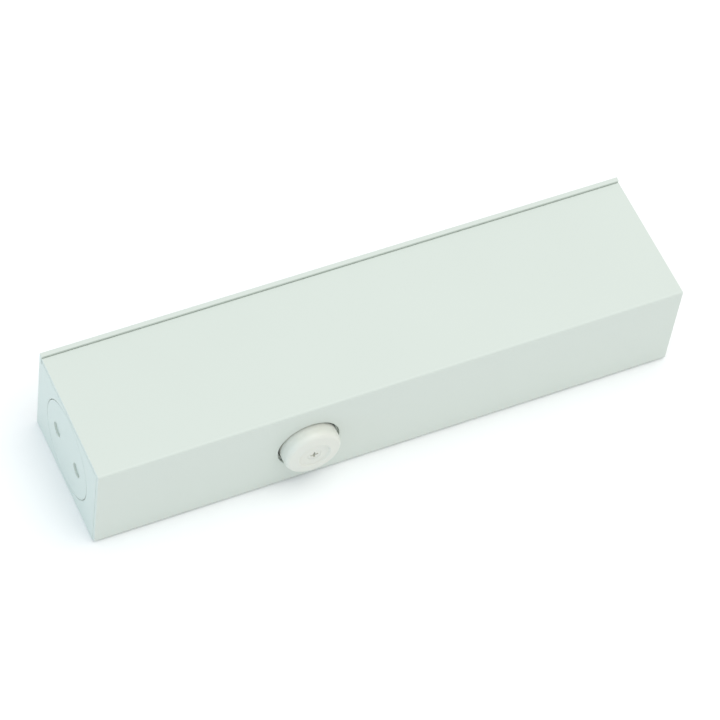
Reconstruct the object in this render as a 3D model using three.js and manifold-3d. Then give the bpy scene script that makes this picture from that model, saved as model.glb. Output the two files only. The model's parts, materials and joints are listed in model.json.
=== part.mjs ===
// Overhead door closer: a rack and pinion in an oil-filled cylinder, under a clip-on cover.
//
// Millimetres. The closer lies on its back. X runs along it, +Z points away from the door, and the
// spindle turns about Y: its arm end stands out of the +Y side, its capped end out of the -Y side.
// The origin is the centre of the back face, which is screwed to the door or to the frame.

import * as THREE from 'three';
import { mergeVertices } from 'three/addons/utils/BufferGeometryUtils.js';
import Module from 'manifold-3d';

const wasm = await Module();
wasm.setup();

// ---- Driving dimensions -------------------------------------------------------------------------

const LENGTH = 250;
const HALF_WIDTH = 30.25;          // cover's outer face to the back of the lip, halved
const FRONT = 46;                  // cover's outer face
const LIP_RISE = 1;                // how far the lip stands above the cover
const LIP_THICKNESS = 1.9;
const LIP_GAP = 0.22;              // open line between the cover and the lip
const SHEET = 1.5;                 // cover's wall
const SEAM = 0.1;                  // flat faces that lie on each other
const FIT = 0.15;                  // radial clearance of what turns or slides

const AXIS_Z = 22.5;               // height of the cylinder's and the spindle's axes
const SPINDLE_X = -36;
const SPINDLE_REACH = 6.2;         // arm end and cap, past the two sides

const BORE_R = 16;                 // cylinder
const PLUG_FLANGE_R = 20.3;
const PLUG_FLANGE = 3;
const PLUG_THREAD_R = 18;
const PLUG_LENGTH = 16;
const PLUG_GAP = 0.22;             // dark line round each plug's flange
const SPANNER_HOLE_R = 3.2;
const SPANNER_HOLE_OFFSET = 10.1;
const SPANNER_HOLE_DEPTH = 1;

const CROSS_BORE_R = 12.2;         // takes the bearings, seals and gland nuts
const JOURNAL_R = 8;
const SQUARE = 10;                 // spindle ends, across flats
const SQUARE_CORNER_R = 6.5;

const MODULE = 1.5;
const TEETH = 12;
const PITCH_R = MODULE * TEETH / 2;
const PRESSURE_ANGLE = THREE.MathUtils.degToRad(20);
const PINION_TIP_R = 10.4;
const PINION_ROOT_R = 7.6;
const PINION_HALF_LENGTH = 15;
const RACK_ADDENDUM = 1;
const RACK_DEDENDUM = 1.8;
const BACKLASH = 0.12;

const PISTON_R = BORE_R - FIT;
const PISTON_LEFT = -92;
const PISTON_RIGHT = -8;
const WINDOW_LEFT = -77;
const WINDOW_RIGHT = -23;
const WINDOW_FLOOR = AXIS_Z - 11.2;

const SPRING_LEFT = -7.6;
const SPRING_RIGHT = 90.8;
const SPRING_WIRE_R = 2.2;
const SPRING_COIL_R = 12.4;
const SPRING_TURNS = 10;

const SEAT_X = 91;
const SEAT_FLANGE = 4;
const SEAT_HUB = 9;
const ADJUSTER_R = 5;
const ADJUSTER_END = 62;
const ADJUSTER_HEAD_R = 5.4;
const ADJUSTER_SOCKET = 4;         // across flats

const FIXING_X = 100;
const FIXING_Y = 22.5;
const FIXING_R = 3.25;
const FIXING_HEAD_R = 4.75;
const FIXING_HEAD_DEPTH = 5;

const VALVE_Y = -21.5;
const VALVE_R = 3.3;
const VALVE_DEPTH = 22;
const VALVES = { closing: -85, latching: -72, backcheck: -59 };
const FILL_X = 20;

const COVER_HOLE_R = 13.1;
const COVER_FOOT = 1;              // cover's edge above the door
const COVER_END_GAP = 0.1;
const CAP_R = 11.95;
const CLIP_X = 113;
const CLIP_WIDTH = 10;
const CLIP_STEEL = 0.5;
const TONGUE = 1.4;

// ---- Faces worked out from them -----------------------------------------------------------------

const END = LENGTH / 2;
const COVER_INNER_Z = FRONT - SHEET;
const HOUSING_TOP = COVER_INNER_Z - SEAM;
const COVER_INNER_Y = -HALF_WIDTH + SHEET;
const HOUSING_NEAR = COVER_INNER_Y + SEAM;
const LIP_TOP = FRONT + LIP_RISE;
const LIP_INNER = HALF_WIDTH - LIP_THICKNESS;
const COVER_FAR = LIP_INNER - LIP_GAP;
const PLUG_INNER = END - PLUG_LENGTH;
const ARM_END = HALF_WIDTH + SPINDLE_REACH;
const TONGUE_END = COVER_INNER_Y + 5.5;
const POCKET_FLOOR = HOUSING_NEAR + 7.45;

const LARGE = 40;                  // sides of large, medium and small round shapes
const MEDIUM = 24;
const SMALL = 12;

// ---- Finishes -----------------------------------------------------------------------------------

function finish(color, roughness, metalness) {
  return new THREE.MeshStandardMaterial({ color, roughness, metalness });
}

const whitePaint = finish(0xe3ebe4, 0.45, 0.0);
const whitePlastic = finish(0xebe9e0, 0.4, 0.0);
const steel = finish(0xa9adb0, 0.35, 1.0);
const springSteel = finish(0x6f7478, 0.4, 1.0);
const brass = finish(0xb99a55, 0.35, 1.0);
const rubber = finish(0x1d1e20, 0.8, 0.0);
const castIron = finish(0x5c5f61, 0.55, 0.8);

// ---- Shapes -------------------------------------------------------------------------------------

const X = new THREE.Vector3(1, 0, 0);
const Y = new THREE.Vector3(0, 1, 0);
const Z = new THREE.Vector3(0, 0, 1);

// Where local x, y and z go: for an outline drawn across an axis, and for a profile turned about it.
const ACROSS = { x: [Y, Z, X], y: [Z, X, Y], z: [X, Y, Z] };
const ABOUT = { x: [Z, X, Y], y: [X, Y, Z], z: [Y, Z, X] };

function toSolid(geometry) {
  geometry.deleteAttribute('normal');
  geometry.deleteAttribute('uv');
  const merged = mergeVertices(geometry, 1e-4);
  const index = merged.index.array;
  const triVerts = [];
  for (let i = 0; i < index.length; i += 3) {
    const [a, b, c] = [index[i], index[i + 1], index[i + 2]];
    if (a !== b && b !== c && c !== a) triVerts.push(a, b, c);
  }
  return new wasm.Manifold(new wasm.Mesh({
    numProp: 3,
    vertProperties: Float32Array.from(merged.attributes.position.array),
    triVerts: Uint32Array.from(triVerts),
  }));
}

function box(x0, x1, y0, y1, z0, z1) {
  const geometry = new THREE.BoxGeometry(x1 - x0, y1 - y0, z1 - z0);
  geometry.translate((x0 + x1) / 2, (y0 + y1) / 2, (z0 + z1) / 2);
  return toSolid(geometry);
}

// An outline across an axis, pushed along it. The pairs follow the axes in turn: (y, z) across x,
// (z, x) across y and (x, y) across z.
function extruded(axis, outline, from, to) {
  const shape = new THREE.Shape(outline.map(([u, v]) => new THREE.Vector2(u, v)));
  const geometry = new THREE.ExtrudeGeometry(shape, { depth: to - from, bevelEnabled: false });
  geometry.translate(0, 0, from);
  geometry.applyMatrix4(new THREE.Matrix4().makeBasis(...ACROSS[axis]));
  return toSolid(geometry);
}

// A profile of [radius, place along the axis] pairs, in rising order, turned about a line.
function turned(axis, profile, centre, sides) {
  const points = profile.map(([radius, place]) => new THREE.Vector2(radius, place));
  const geometry = new THREE.LatheGeometry(points, sides);
  geometry.applyMatrix4(new THREE.Matrix4().makeBasis(...ABOUT[axis]));
  geometry.translate(...centre);
  return toSolid(geometry);
}

function rod(axis, radius, from, to, centre, sides = MEDIUM) {
  return turned(axis, [[0, from], [radius, from], [radius, to], [0, to]], centre, sides);
}

function ring(axis, inner, outer, from, to, centre, sides = MEDIUM) {
  const profile = [[inner, from], [outer, from], [outer, to], [inner, to], [inner, from]];
  return turned(axis, profile, centre, sides);
}

function oRing(axis, radius, cord, place, centre, sides = MEDIUM) {
  const CORD_SIDES = 6;
  const profile = [];
  for (let i = 0; i <= CORD_SIDES; i += 1) {
    const angle = (i % CORD_SIDES) * 2 * Math.PI / CORD_SIDES;
    profile.push([radius + cord * Math.cos(angle), place + cord * Math.sin(angle)]);
  }
  return turned(axis, profile, centre, sides);
}

function hexagon(acrossFlats, centre = [0, 0]) {
  const radius = acrossFlats / Math.sqrt(3);
  return Array.from({ length: 6 }, (_, i) => [
    centre[0] + radius * Math.cos(i * Math.PI / 3),
    centre[1] + radius * Math.sin(i * Math.PI / 3),
  ]);
}

// Round wire wound about a line along x.
class Coil extends THREE.Curve {
  constructor(radius, from, to, turns, centre) {
    super();
    Object.assign(this, { radius, from, to, turns, centre });
  }

  getPoint(t, target = new THREE.Vector3()) {
    const angle = 2 * Math.PI * this.turns * t;
    return target.set(
      this.from + (this.to - this.from) * t,
      this.centre[1] + this.radius * Math.cos(angle),
      this.centre[2] + this.radius * Math.sin(angle),
    );
  }
}

function coilSpring(radius, wire, from, to, turns, centre, stepsPerTurn, wireSides) {
  const section = Array.from({ length: wireSides }, (_, i) => new THREE.Vector2(
    wire * Math.cos(i * 2 * Math.PI / wireSides),
    wire * Math.sin(i * 2 * Math.PI / wireSides),
  ));
  return toSolid(new THREE.ExtrudeGeometry(new THREE.Shape(section), {
    extrudePath: new Coil(radius, from + wire, to - wire, turns, centre),
    steps: turns * stepsPerTurn,
    bevelEnabled: false,
  }));
}

// Sheet metal bent along a line: the outline of a strip whose middle follows the points.
function strip(points, thickness) {
  const side = (sign) => points.map(([u, v], i) => {
    const [pu, pv] = points[Math.max(i - 1, 0)];
    const [nu, nv] = points[Math.min(i + 1, points.length - 1)];
    const before = new THREE.Vector2(u - pu, v - pv).normalize();
    const after = new THREE.Vector2(nu - u, nv - v).normalize();
    const middle = before.clone().add(after).normalize();
    const straight = before.lengthSq() > 0 ? before : after;
    const reach = sign * thickness / 2 / middle.dot(straight);
    return [u - middle.y * reach, v + middle.x * reach];
  });
  return [...side(1), ...side(-1).reverse()];
}

// ---- Assembly -----------------------------------------------------------------------------------

const closer = new THREE.Group();

function addPiece(name, solid, material) {
  const { vertProperties, triVerts } = solid.getMesh();
  const geometry = new THREE.BufferGeometry();
  geometry.setAttribute('position', new THREE.BufferAttribute(Float32Array.from(vertProperties), 3));
  geometry.setIndex(new THREE.BufferAttribute(Uint32Array.from(triVerts), 1));
  geometry.computeVertexNormals();
  const mesh = new THREE.Mesh(geometry, material);
  mesh.name = name;
  closer.add(mesh);
}

const CYLINDER = [0, 0, AXIS_Z];             // a point on the cylinder's axis
const SPINDLE = [SPINDLE_X, 0, AXIS_Z];      // a point on the spindle's axis

// ---- Housing: one casting with the cylinder, the cross bore and every hole ----------------------

function endBores(side) {
  const along = (from, to) => (side > 0 ? [from, to] : [-to, -from]);
  const thread = rod('x', PLUG_THREAD_R + 0.3, ...along(PLUG_INNER - 1, END + 1), CYLINDER, LARGE);
  const flange = rod('x', PLUG_FLANGE_R + PLUG_GAP, ...along(END - PLUG_FLANGE - 0.3, END + 1),
    CYLINDER, LARGE);
  return thread.add(flange);
}

function fixingHole(x, y) {
  const through = rod('z', FIXING_R, -1, HOUSING_TOP + 1, [x, y, 0], SMALL);
  const head = rod('z', FIXING_HEAD_R, HOUSING_TOP - FIXING_HEAD_DEPTH, HOUSING_TOP + 1, [x, y, 0], SMALL);
  return through.add(head);
}

function valveHole(x) {
  const hole = rod('z', VALVE_R + 0.2, VALVE_DEPTH, HOUSING_TOP + 1, [x, VALVE_Y, 0], SMALL);
  const gallery = rod('y', 1.2, VALVE_Y, -BORE_R + 2, [x, 0, VALVE_DEPTH + 3], SMALL);
  return hole.add(gallery);
}

function clipPocket(x) {
  const halfWidth = CLIP_WIDTH / 2 + 1;
  const pocket = box(x - halfWidth, x + halfWidth, HOUSING_NEAR - 1, POCKET_FLOOR, AXIS_Z - 4, AXIS_Z + 4);
  const screwHole = rod('y', 1.4, POCKET_FLOOR - 1, POCKET_FLOOR + 2, [x, 0, AXIS_Z], SMALL);
  return pocket.add(screwHole);
}

let housing = box(-END, END, HOUSING_NEAR, HALF_WIDTH, 0, HOUSING_TOP);
housing = housing.add(box(-END, END, LIP_INNER, HALF_WIDTH, HOUSING_TOP - 1, LIP_TOP));
housing = housing.subtract(box(-END - 1, END + 1, COVER_FAR - 0.4, LIP_INNER, HOUSING_TOP - 1.5, FRONT));
housing = housing.subtract(rod('x', BORE_R, -END + 1, END - 1, CYLINDER, LARGE));
housing = housing.subtract(rod('y', CROSS_BORE_R, -HALF_WIDTH - 1, HALF_WIDTH + 1, SPINDLE, LARGE));
housing = housing.subtract(rod('z', 3.8, AXIS_Z + 10, HOUSING_TOP + 1, [FILL_X, 0, 0], SMALL));
for (const side of [-1, 1]) {
  housing = housing.subtract(endBores(side));
  housing = housing.subtract(clipPocket(side * CLIP_X));
  housing = housing.subtract(fixingHole(side * FIXING_X, FIXING_Y));
  housing = housing.subtract(fixingHole(side * FIXING_X, -FIXING_Y));
}
for (const x of Object.values(VALVES)) housing = housing.subtract(valveHole(x));
addPiece('housing', housing, whitePaint);

const fillPlug = rod('z', 3.6, HOUSING_TOP - 5, HOUSING_TOP - 0.3, [FILL_X, 0, 0], SMALL)
  .subtract(extruded('z', hexagon(3, [FILL_X, 0]), HOUSING_TOP - 3, HOUSING_TOP));
addPiece('oil_fill_plug', fillPlug, steel);

// ---- Cover: an angle of sheet that hides the front and the capped side, on two tongues ----------

const coverOutline = [
  [-HALF_WIDTH, COVER_FOOT],
  [COVER_INNER_Y, COVER_FOOT],
  [COVER_INNER_Y, COVER_INNER_Z],
  [COVER_FAR, COVER_INNER_Z],
  [COVER_FAR, FRONT],
];
const CORNER_R = 0.8;
const CORNER_STEPS = 4;
for (let i = 0; i <= CORNER_STEPS; i += 1) {
  const angle = Math.PI / 2 * (1 + i / CORNER_STEPS);
  coverOutline.push([
    -HALF_WIDTH + CORNER_R * (1 + Math.cos(angle)),
    FRONT + CORNER_R * (Math.sin(angle) - 1),
  ]);
}
let cover = extruded('x', coverOutline, -END + COVER_END_GAP, END - COVER_END_GAP)
  .subtract(rod('y', COVER_HOLE_R, -HALF_WIDTH - 1, COVER_INNER_Y + 1, SPINDLE, LARGE));
for (const side of [-1, 1]) {
  const x = side * CLIP_X;
  cover = cover.add(box(
    x - CLIP_WIDTH / 2, x + CLIP_WIDTH / 2,
    COVER_INNER_Y - SHEET / 2, TONGUE_END,
    AXIS_Z - TONGUE / 2, AXIS_Z + TONGUE / 2,
  ));
}
addPiece('cover', cover, whitePaint);

// Spring clips in the housing's pockets, which pinch the cover's tongues.
const CLIP_BACK = POCKET_FLOOR - SEAM - CLIP_STEEL / 2;
const clipLine = [
  [HOUSING_NEAR + 0.5, AXIS_Z + 2.2],
  [HOUSING_NEAR + 1.9, AXIS_Z + TONGUE / 2 + SEAM + CLIP_STEEL / 2],
  [CLIP_BACK - 1.6, AXIS_Z + 3.2],
  [CLIP_BACK, AXIS_Z + 3.2],
];
const clipMirrored = clipLine.map(([y, z]) => [y, 2 * AXIS_Z - z]).reverse();
for (const [name, side] of [['left', -1], ['right', 1]]) {
  const x = side * CLIP_X;
  const outline = strip([...clipLine, ...clipMirrored], CLIP_STEEL);
  const clip = extruded('x', outline, x - CLIP_WIDTH / 2, x + CLIP_WIDTH / 2)
    .subtract(rod('y', 1.4, CLIP_BACK - 1, CLIP_BACK + 1, [x, 0, AXIS_Z], SMALL));
  addPiece(`${name}_cover_clip`, clip, springSteel);

  const headFace = CLIP_BACK - CLIP_STEEL / 2 - SEAM;
  const screw = rod('y', 1.15, headFace - 0.2, POCKET_FLOOR + 1.8, [x, 0, AXIS_Z], SMALL)
    .add(rod('y', 2, headFace - 0.8, headFace, [x, 0, AXIS_Z], SMALL));
  addPiece(`${name}_clip_screw`, screw, steel);
}

// ---- Spindle: pinion, journals and square ends in one, with its bearings, seals and glands -------

function involute(radius) {
  const angle = Math.acos(PITCH_R * Math.cos(PRESSURE_ANGLE) / radius);
  return Math.tan(angle) - angle;
}

function pinionOutline() {
  const baseR = PITCH_R * Math.cos(PRESSURE_ANGLE);
  const FLANK_STEPS = 4;
  const halfTooth = Math.PI / (2 * TEETH) - BACKLASH / (2 * PITCH_R) + involute(PITCH_R);
  const flank = [[PINION_ROOT_R, halfTooth]];
  for (let i = 0; i <= FLANK_STEPS; i += 1) {
    const radius = baseR + (PINION_TIP_R - baseR) * i / FLANK_STEPS;
    flank.push([radius, halfTooth - involute(radius)]);
  }
  const outline = [];
  for (let tooth = 0; tooth < TEETH; tooth += 1) {
    const middle = tooth * 2 * Math.PI / TEETH;
    const leading = flank.map(([radius, angle]) => [radius, middle - angle]);
    const trailing = flank.map(([radius, angle]) => [radius, middle + angle]).reverse();
    for (const [radius, angle] of [...leading, ...trailing]) {
      outline.push([AXIS_Z + radius * Math.cos(angle), SPINDLE_X + radius * Math.sin(angle)]);
    }
  }
  return outline;
}

function squareEnd(from, to) {
  const half = SQUARE / 2;
  return box(SPINDLE_X - half, SPINDLE_X + half, from, to, AXIS_Z - half, AXIS_Z + half)
    .intersect(rod('y', SQUARE_CORNER_R, from - 1, to + 1, SPINDLE));
}

const CAPPED_END = -HALF_WIDTH - 3;
const CAP_SCREW_R = 1.8;
const spindle = extruded('y', pinionOutline(), -PINION_HALF_LENGTH, PINION_HALF_LENGTH)
  .add(rod('y', JOURNAL_R, HOUSING_NEAR + 0.4, HALF_WIDTH - 0.2, SPINDLE))
  .add(squareEnd(CAPPED_END, HOUSING_NEAR + 2))
  .add(squareEnd(HALF_WIDTH - 2, ARM_END))
  .subtract(rod('y', CAP_SCREW_R + 0.3, CAPPED_END - 1, CAPPED_END + 11, SPINDLE, SMALL))
  .subtract(rod('y', 2.5, ARM_END - 14, ARM_END + 1, SPINDLE, SMALL));
addPiece('spindle', spindle, steel);

// Each side of the spindle, from the pinion outwards: needle bearing, lip seal, gland nut.
const BEARING = [16.4, 21.4];
const SEAL = [21.7, 24.1];
const GLAND_INNER = 24.4;
const glandOuter = { upper: HALF_WIDTH - 0.3, lower: -HOUSING_NEAR - 0.3 };
for (const [name, side] of [['upper', 1], ['lower', -1]]) {
  const along = (from, to) => (side > 0 ? [from, to] : [-to, -from]);
  const outer = CROSS_BORE_R - FIT;
  addPiece(`${name}_bearing`, ring('y', JOURNAL_R + FIT, outer, ...along(...BEARING), SPINDLE), steel);
  addPiece(`${name}_seal`, ring('y', JOURNAL_R + FIT, outer, ...along(...SEAL), SPINDLE), rubber);

  const gland = glandOuter[name];
  let nut = ring('y', JOURNAL_R + 0.4, outer, ...along(GLAND_INNER, gland), SPINDLE);
  for (const slot of [-1, 1]) {
    const x = SPINDLE_X + slot * (JOURNAL_R + outer) / 2;
    nut = nut.subtract(rod('y', 1, ...along(gland - 2, gland + 1), [x, 0, AXIS_Z], SMALL));
  }
  addPiece(`${name}_gland_nut`, nut, steel);
}

// Round cap on the spindle's unused end, held by one cross-head screw.
const CAP_FACE = -ARM_END;
const CAP_INNER = COVER_INNER_Y - 0.4;
const CAP_DISH = CAP_FACE + 0.7;
const SCREW_HEAD_R = 2.8;
const SCREW_HEAD = [CAP_DISH - 0.05, CAP_DISH + 1.3];
const capProfile = [
  [0, CAP_DISH],
  [6.1, CAP_DISH],
  [6.7, CAP_FACE],
  [8.6, CAP_FACE + 0.15],
  [10.4, CAP_FACE + 0.6],
  [11.3, CAP_FACE + 1.2],
  [11.8, CAP_FACE + 2.1],
  [CAP_R, CAP_FACE + 3.2],
  [CAP_R, CAP_INNER],
  [0, CAP_INNER],
];
const cap = turned('y', capProfile, SPINDLE, LARGE)
  .subtract(rod('y', SQUARE_CORNER_R + 0.4, CAPPED_END - 0.4, CAP_INNER + 1, SPINDLE))
  .subtract(rod('y', CAP_SCREW_R + 0.3, CAP_FACE, CAP_INNER, SPINDLE, SMALL))
  .subtract(rod('y', SCREW_HEAD_R + FIT, CAP_FACE - 1, SCREW_HEAD[1] + 0.1, SPINDLE, SMALL));
addPiece('spindle_cap', cap, whitePlastic);

const CROSS = 3.4;
const CROSS_SLOT = 0.8;
const CROSS_DEPTH = 1.1;
let capScrew = rod('y', SCREW_HEAD_R, ...SCREW_HEAD, SPINDLE, SMALL)
  .add(rod('y', CAP_SCREW_R, SCREW_HEAD[1] - 0.1, CAPPED_END + 9, SPINDLE, SMALL));
for (const [width, height] of [[CROSS, CROSS_SLOT], [CROSS_SLOT, CROSS]]) {
  capScrew = capScrew.subtract(box(
    SPINDLE_X - width / 2, SPINDLE_X + width / 2,
    SCREW_HEAD[0] - 1, SCREW_HEAD[0] + CROSS_DEPTH,
    AXIS_Z - height / 2, AXIS_Z + height / 2,
  ));
}
addPiece('cap_screw', capScrew, whitePlastic);

// ---- Piston: a plunger with a window, whose upper edge is the rack ------------------------------

function windowOutline() {
  const pitch = Math.PI * MODULE;
  const slope = Math.tan(PRESSURE_ANGLE);
  const pitchLine = AXIS_Z + PITCH_R;
  const tip = pitchLine - RACK_ADDENDUM;
  const root = pitchLine + RACK_DEDENDUM;
  const halfAtPitch = pitch / 4 - BACKLASH / 2;
  const halfTip = halfAtPitch - RACK_ADDENDUM * slope;
  const halfRoot = halfAtPitch + RACK_DEDENDUM * slope;
  const outline = [[WINDOW_FLOOR, WINDOW_LEFT], [root, WINDOW_LEFT]];
  for (let tooth = -8; tooth <= 1; tooth += 1) {
    const middle = SPINDLE_X + (tooth + 0.5) * pitch;
    outline.push([root, middle - halfRoot], [tip, middle - halfTip]);
    outline.push([tip, middle + halfTip], [root, middle + halfRoot]);
  }
  outline.push([root, WINDOW_RIGHT], [WINDOW_FLOOR, WINDOW_RIGHT]);
  return outline;
}

const SEAL_GROOVE = [-86.5, -83.5];
const GROOVE_R = 13;
const CHECK_SEAT = -20;
const CHECK_R = 4;
const piston = rod('x', PISTON_R, PISTON_LEFT, PISTON_RIGHT, CYLINDER, LARGE)
  .subtract(extruded('y', windowOutline(), -BORE_R - 1, BORE_R + 1))
  .subtract(ring('x', GROOVE_R, BORE_R + 1, ...SEAL_GROOVE, CYLINDER, LARGE))
  .subtract(rod('x', CHECK_R, CHECK_SEAT, PISTON_RIGHT + 1, CYLINDER, SMALL))
  .subtract(rod('x', 1.5, WINDOW_RIGHT - 1, CHECK_SEAT + 1, CYLINDER, SMALL));
addPiece('piston', piston, castIron);
addPiece('piston_seal',
  ring('x', GROOVE_R + FIT, PISTON_R, SEAL_GROOVE[0] + 0.2, SEAL_GROOVE[1] - 0.2, CYLINDER, LARGE), rubber);

// Check valve in the piston: it opens while the door is pushed, and holds the oil as it closes.
const BALL_R = 3;
const BALL_X = CHECK_SEAT + Math.sqrt(BALL_R ** 2 - 1.5 ** 2) + FIT;
const RETAINER = [-11, PISTON_RIGHT - 0.3];
const ball = new THREE.SphereGeometry(BALL_R, SMALL, SMALL / 2);
ball.translate(BALL_X, 0, AXIS_Z);
addPiece('check_valve_ball', toSolid(ball), steel);
addPiece('check_valve_spring',
  coilSpring(2.2, 0.3, BALL_X + BALL_R + 0.1, RETAINER[0] - 0.1, 3, CYLINDER, 8, 4), springSteel);
addPiece('check_valve_retainer', ring('x', 1, CHECK_R - FIT, ...RETAINER, CYLINDER, SMALL), brass);

// ---- Closing spring, its seat and the screw that sets its strength ------------------------------

addPiece('closing_spring',
  coilSpring(SPRING_COIL_R, SPRING_WIRE_R, SPRING_LEFT, SPRING_RIGHT, SPRING_TURNS, CYLINDER, 12, 6),
  springSteel);

const seatBore = ADJUSTER_R + 0.3;
addPiece('spring_seat',
  ring('x', seatBore, 15, SEAT_X, SEAT_X + SEAT_FLANGE, CYLINDER)
    .add(ring('x', seatBore, 8.5, SEAT_X - SEAT_HUB, SEAT_X + 1, CYLINDER)), steel);

const COLLAR = [PLUG_INNER - 4, PLUG_INNER - 1.4];
const WASHER = [PLUG_INNER - 1.2, PLUG_INNER - 0.2];
const HEAD_INNER = END - 9;
const HEAD_FACE = END - 0.7;
const HEAD_GROOVE = [END - 6.6, END - 4.6];
const adjuster = rod('x', ADJUSTER_R, ADJUSTER_END, COLLAR[0] + 1, CYLINDER)
  .add(rod('x', 9, ...COLLAR, CYLINDER))
  .add(rod('x', ADJUSTER_HEAD_R - 0.8, COLLAR[1] - 1, HEAD_INNER + 1, CYLINDER))
  .add(rod('x', ADJUSTER_HEAD_R, HEAD_INNER, HEAD_FACE, CYLINDER))
  .subtract(ring('x', 4, ADJUSTER_HEAD_R + 1, ...HEAD_GROOVE, CYLINDER))
  .subtract(extruded('x', hexagon(ADJUSTER_SOCKET, [0, AXIS_Z]), HEAD_FACE - 5, END + 1));
addPiece('adjuster_screw', adjuster, steel);
addPiece('adjuster_o_ring',
  oRing('x', 4.75, 0.6, (HEAD_GROOVE[0] + HEAD_GROOVE[1]) / 2, CYLINDER), rubber);
addPiece('thrust_washer', ring('x', ADJUSTER_HEAD_R - 0.5, 10.5, ...WASHER, CYLINDER), brass);

// ---- End plugs: one closes each end of the cylinder, and both are turned with a pin spanner ------

function endPlug(side, centreBore) {
  const along = (from, to) => (side > 0 ? [from, to] : [-to, -from]);
  const flangeInner = END - PLUG_FLANGE;
  let plug = rod('x', PLUG_FLANGE_R, ...along(flangeInner, END), CYLINDER, LARGE)
    .add(rod('x', PLUG_THREAD_R, ...along(PLUG_INNER, flangeInner + 1), CYLINDER, LARGE))
    .subtract(ring('x', PLUG_THREAD_R - 2, PLUG_THREAD_R + 1, ...along(PLUG_INNER + 2, PLUG_INNER + 5),
      CYLINDER, LARGE))
    .subtract(rod('x', centreBore.radius, ...along(...centreBore.span), CYLINDER));
  for (const y of [-SPANNER_HOLE_OFFSET, SPANNER_HOLE_OFFSET]) {
    plug = plug.subtract(rod('x', SPANNER_HOLE_R, ...along(END - SPANNER_HOLE_DEPTH, END + 1),
      [0, y, AXIS_Z], SMALL));
  }
  return plug;
}

addPiece('left_end_plug', endPlug(-1, { radius: 12, span: [PLUG_INNER - 1, PLUG_INNER + 6] }), whitePaint);
addPiece('right_end_plug',
  endPlug(1, { radius: ADJUSTER_HEAD_R + FIT, span: [PLUG_INNER - 1, END + 1] }), whitePaint);
for (const [name, side] of [['left', -1], ['right', 1]]) {
  const place = side * (PLUG_INNER + 3.5);
  addPiece(`${name}_plug_o_ring`, oRing('x', 17.15, 0.95, place, CYLINDER), rubber);
}

// ---- Valve screws: needles that throttle the oil, one for each part of the door's swing ----------

const VALVE_GROOVE = [HOUSING_TOP - 7.4, HOUSING_TOP - 5.8];
for (const [name, x] of Object.entries(VALVES)) {
  const centre = [x, VALVE_Y, 0];
  const needle = turned('z', [
    [0, VALVE_DEPTH + 0.4],
    [0.6, VALVE_DEPTH + 0.4],
    [1.6, VALVE_DEPTH + 6],
    [VALVE_R, VALVE_DEPTH + 7],
    [VALVE_R, HOUSING_TOP - 0.5],
    [0, HOUSING_TOP - 0.5],
  ], centre, SMALL);
  const screw = needle
    .subtract(ring('z', 2.3, VALVE_R + 1, ...VALVE_GROOVE, centre, SMALL))
    .subtract(box(x - 0.5, x + 0.5, VALVE_Y - 5, VALVE_Y + 5, HOUSING_TOP - 2, HOUSING_TOP));
  addPiece(`${name}_valve_screw`, screw, brass);
  addPiece(`${name}_valve_o_ring`,
    oRing('z', 2.9, 0.5, (VALVE_GROOVE[0] + VALVE_GROOVE[1]) / 2, centre, SMALL), rubber);
}

export default closer;
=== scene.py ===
import json
import math

import bmesh
import bpy
from mathutils import Matrix, Vector


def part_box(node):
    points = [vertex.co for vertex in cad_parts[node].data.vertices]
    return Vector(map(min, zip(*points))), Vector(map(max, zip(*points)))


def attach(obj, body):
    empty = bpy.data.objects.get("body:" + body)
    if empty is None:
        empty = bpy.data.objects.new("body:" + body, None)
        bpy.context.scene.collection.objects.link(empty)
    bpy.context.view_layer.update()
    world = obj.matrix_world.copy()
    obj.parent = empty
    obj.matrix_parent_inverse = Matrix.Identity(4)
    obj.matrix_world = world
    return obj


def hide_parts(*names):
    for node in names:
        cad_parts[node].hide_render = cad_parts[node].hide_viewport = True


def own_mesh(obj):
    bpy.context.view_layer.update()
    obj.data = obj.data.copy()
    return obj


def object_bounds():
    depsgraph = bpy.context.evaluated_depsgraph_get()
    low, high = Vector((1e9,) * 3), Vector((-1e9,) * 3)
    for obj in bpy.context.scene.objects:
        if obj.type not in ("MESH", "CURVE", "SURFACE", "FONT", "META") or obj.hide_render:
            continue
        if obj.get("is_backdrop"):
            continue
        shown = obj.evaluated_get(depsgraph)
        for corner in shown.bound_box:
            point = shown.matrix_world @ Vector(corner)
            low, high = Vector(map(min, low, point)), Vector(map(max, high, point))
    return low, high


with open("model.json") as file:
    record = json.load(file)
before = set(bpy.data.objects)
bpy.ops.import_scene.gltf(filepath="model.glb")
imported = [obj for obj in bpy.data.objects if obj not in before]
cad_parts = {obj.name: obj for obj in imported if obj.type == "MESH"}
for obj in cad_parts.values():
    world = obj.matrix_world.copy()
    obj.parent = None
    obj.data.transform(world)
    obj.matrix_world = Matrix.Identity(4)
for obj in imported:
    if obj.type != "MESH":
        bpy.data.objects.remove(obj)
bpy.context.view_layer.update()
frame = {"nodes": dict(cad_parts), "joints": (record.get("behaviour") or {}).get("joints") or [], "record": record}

# Camera. A long lens looks down on the front cover, the capped side and the left end, with the
# closer lying on its back and the camera tipped a little, so that the closer climbs to the right.

LOOK_AT = Vector((-0.0012, -0.0015, 0.0232))
AZIMUTH = math.radians(-31.85)
ELEVATION = math.radians(54.80)
ROLL = math.radians(9.44)
DISTANCE = 1.455
SENSOR_WIDTH = 36.0
LENS = 183.9

back = Vector((
    math.sin(AZIMUTH) * math.cos(ELEVATION),
    -math.cos(AZIMUTH) * math.cos(ELEVATION),
    math.sin(ELEVATION),
))
level_right = Vector((0.0, 0.0, 1.0)).cross(back).normalized()
level_up = back.cross(level_right)
right = level_right * math.cos(ROLL) + level_up * math.sin(ROLL)
up = level_up * math.cos(ROLL) - level_right * math.sin(ROLL)

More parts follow.
